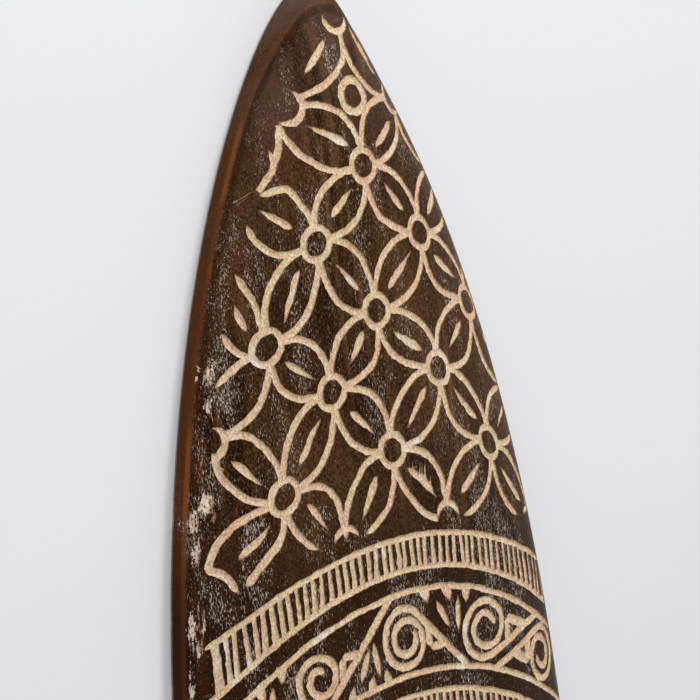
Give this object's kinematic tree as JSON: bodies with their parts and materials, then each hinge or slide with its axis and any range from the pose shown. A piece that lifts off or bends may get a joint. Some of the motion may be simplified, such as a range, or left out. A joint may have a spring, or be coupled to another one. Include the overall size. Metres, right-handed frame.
{
  "type": "boomerang",
  "caption": "Broad carved wooden boomerang with a domed face, a flat back and two leaf-shaped wings half-lapped at a rounded elbow.",
  "frame": {"origin": "centre of the outline on the plane of the flat back", "axes": "+Z out of the domed face, +Y towards the outside of the elbow, +X along the span towards the right-hand wing"},
  "size_m": [0.6314, 0.2674, 0.0228],
  "materials": {
    "stained_wood": "dark stain under a thin wax, with bare pale carving",
    "peg_wood": "bare turned hardwood"
  },
  "bodies": {
    "root": {"wing_right": "stained_wood", "wing_left": "stained_wood", "peg_inner": "peg_wood", "peg_outer": "peg_wood", "peg_right": "peg_wood", "peg_left": "peg_wood"}
  },
  "joints": []
}
